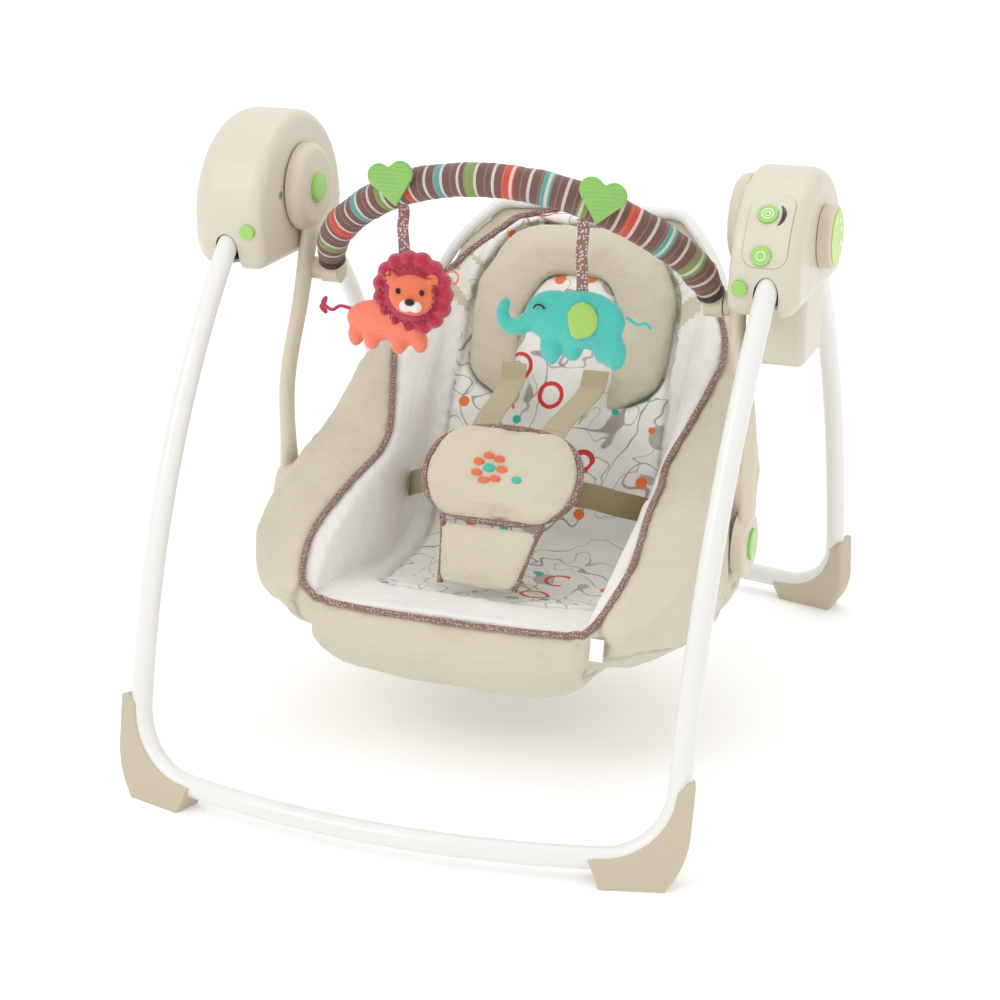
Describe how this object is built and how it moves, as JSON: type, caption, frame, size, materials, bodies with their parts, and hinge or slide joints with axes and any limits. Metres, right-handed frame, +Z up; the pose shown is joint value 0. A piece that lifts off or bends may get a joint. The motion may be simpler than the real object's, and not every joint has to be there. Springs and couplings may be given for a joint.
{
  "type": "baby swing",
  "caption": "Folding battery baby swing: two bowed tube frames, domed casings, padded bucket seat hung on curved arms, sleeved toy bar with soft animal toys.",
  "frame": {"origin": "centre of the footprint on the floor, under the swing axis", "axes": "+Z up, +Y to the rear, +X to the sitter's left hand side when seated is minus X; the front of the seat faces -Y"},
  "size_m": [0.612, 0.761, 0.581],
  "materials": {
    "housing_plastic": "satin",
    "dial_plastic": "satin",
    "green_plastic": "satin",
    "foot_plastic": "matt",
    "tube_paint": "gloss powder coat",
    "pivot_steel": "bright",
    "nylon": "matt",
    "coil_copper": "enamelled wire",
    "magnet_metal": "plated",
    "cell_sleeve": "gloss",
    "board_laminate": "satin",
    "speaker_cone": "matt",
    "seat_tube": "satin",
    "board_panel": "matt",
    "beige_fabric": "brushed knit",
    "printed_fabric": "printed knit",
    "webbing": "woven",
    "sleeve_fabric": "striped",
    "ribbon_fabric": "woven",
    "lion_plush": "plush",
    "elephant_plush": "plush",
    "green_felt": "felt"
  },
  "bodies": {
    "stand": {"left_casing_cover": "housing_plastic", "left_casing_plate": "housing_plastic", "right_casing_front": "housing_plastic", "right_casing_rear": "housing_plastic", "right_casing_plate": "housing_plastic", "control_panel": "housing_plastic", "battery_door": "housing_plastic", "leg_pivot_pins": "pivot_steel", "hub_bushes": "nylon", "drive_coil": "coil_copper", "battery_cells": "cell_sleeve", "circuit_board": "board_laminate", "speaker": "speaker_cone", "speed_switch": "nylon"},
    "front_fold": {"front_leg_tube": "tube_paint", "front_leg_knuckles": "nylon", "front_left_foot": "foot_plastic", "front_right_foot": "foot_plastic"},
    "rear_fold": {"rear_leg_tube": "tube_paint", "rear_leg_knuckles": "nylon", "rear_left_foot": "foot_plastic", "rear_right_foot": "foot_plastic"},
    "swing": {"left_swing_arm": "dial_plastic", "right_swing_arm": "dial_plastic", "hub_shafts": "pivot_steel", "hub_caps": "green_plastic", "magnet_lever": "nylon", "drive_magnet": "magnet_metal"},
    "seat": {"seat_hubs": "dial_plastic", "seat_frame_front": "seat_tube", "seat_frame_rear": "seat_tube", "seat_back_board": "board_panel", "seat_cover_base": "beige_fabric", "seat_cover_back": "printed_fabric", "seat_cover_sides": "beige_fabric", "headrest": "beige_fabric", "headrest_panel": "beige_fabric", "crotch_pad": "beige_fabric", "crotch_strap": "beige_fabric", "harness_buckle": "nylon", "shoulder_straps": "webbing", "waist_straps": "webbing"},
    "toy_bar": {"toy_bar_core": "nylon", "toy_bar_sleeve": "sleeve_fabric", "toy_bar_ends": "dial_plastic", "toy_hearts": "green_felt"},
    "lion": {"lion_toy": "lion_plush", "lion_ribbon": "ribbon_fabric"},
    "elephant": {"elephant_toy": "elephant_plush", "elephant_ribbon": "ribbon_fabric"},
    "dial": {"speed_dial": "dial_plastic", "dial_disc": "green_plastic"},
    "music_push": {"music_button": "green_plastic"},
    "volume_push": {"volume_button": "green_plastic"},
    "left_recline_push": {"left_recline_button": "green_plastic"},
    "right_recline_push": {"right_recline_button": "green_plastic"},
    "front_left_release_push": {"front_left_release_button": "green_plastic"},
    "front_right_release_push": {"front_right_release_button": "green_plastic"},
    "rear_left_release_push": {"rear_left_release_button": "green_plastic"},
    "rear_right_release_push": {"rear_right_release_button": "green_plastic"}
  },
  "joints": [
    {"name": "front_leg_fold", "type": "hinge", "parent": "stand", "child": "front_fold", "pos_m": [0, -0.0485, 0.507], "axis": [1, 0, 0], "range_deg": [0, 30]},
    {"name": "rear_leg_fold", "type": "hinge", "parent": "stand", "child": "rear_fold", "pos_m": [0, 0.0485, 0.507], "axis": [-1, 0, 0], "range_deg": [0, 30]},
    {"name": "swing_hub", "type": "hinge", "parent": "stand", "child": "swing", "pos_m": [0, 0, 0.507], "axis": [1, 0, 0], "range_deg": [-15, 15]},
    {"name": "seat_recline", "type": "hinge", "parent": "swing", "child": "seat", "pos_m": [0, -0.028, 0.202], "axis": [1, 0, 0], "range_deg": [-12, 0]},
    {"name": "toy_bar_pivot", "type": "hinge", "parent": "swing", "child": "toy_bar", "pos_m": [0, -0.004, 0.427], "axis": [1, 0, 0], "range_deg": [-50, 15]},
    {"name": "lion_swing", "type": "hinge", "parent": "toy_bar", "child": "lion", "pos_m": [-0.088, -0.078, 0.503], "axis": [1, 0, 0], "range_deg": [-40, 40]},
    {"name": "elephant_swing", "type": "hinge", "parent": "toy_bar", "child": "elephant", "pos_m": [0.088, -0.078, 0.503], "axis": [1, 0, 0], "range_deg": [-40, 40]},
    {"name": "speed_dial_turn", "type": "hinge", "parent": "stand", "child": "dial", "pos_m": [0.3, 0, 0.497], "axis": [1, 0, 0], "range_deg": [0, 270]},
    {"name": "music_press", "type": "slide", "parent": "stand", "child": "music_push", "axis": [0, 0.7193, -0.6947], "range_m": [0, 0.0015], "stiffness_N_per_m": 250},
    {"name": "volume_press", "type": "slide", "parent": "stand", "child": "volume_push", "axis": [0, 0.9336, -0.3584], "range_m": [0, 0.0015], "stiffness_N_per_m": 250},
    {"name": "front_left_release_press", "type": "slide", "parent": "stand", "child": "front_left_release_push", "axis": [0, 1, 0], "range_m": [0, 0.004], "stiffness_N_per_m": 250},
    {"name": "rear_left_release_press", "type": "slide", "parent": "stand", "child": "rear_left_release_push", "axis": [0, -1, 0], "range_m": [0, 0.004], "stiffness_N_per_m": 250},
    {"name": "left_recline_press", "type": "slide", "parent": "swing", "child": "left_recline_push", "axis": [1, 0, 0], "range_m": [0, 0.003], "stiffness_N_per_m": 250},
    {"name": "front_right_release_press", "type": "slide", "parent": "stand", "child": "front_right_release_push", "axis": [0, 1, 0], "range_m": [0, 0.004], "stiffness_N_per_m": 250},
    {"name": "rear_right_release_press", "type": "slide", "parent": "stand", "child": "rear_right_release_push", "axis": [0, -1, 0], "range_m": [0, 0.004], "stiffness_N_per_m": 250},
    {"name": "right_recline_press", "type": "slide", "parent": "swing", "child": "right_recline_push", "axis": [-1, 0, 0], "range_m": [0, 0.003], "stiffness_N_per_m": 250}
  ]
}
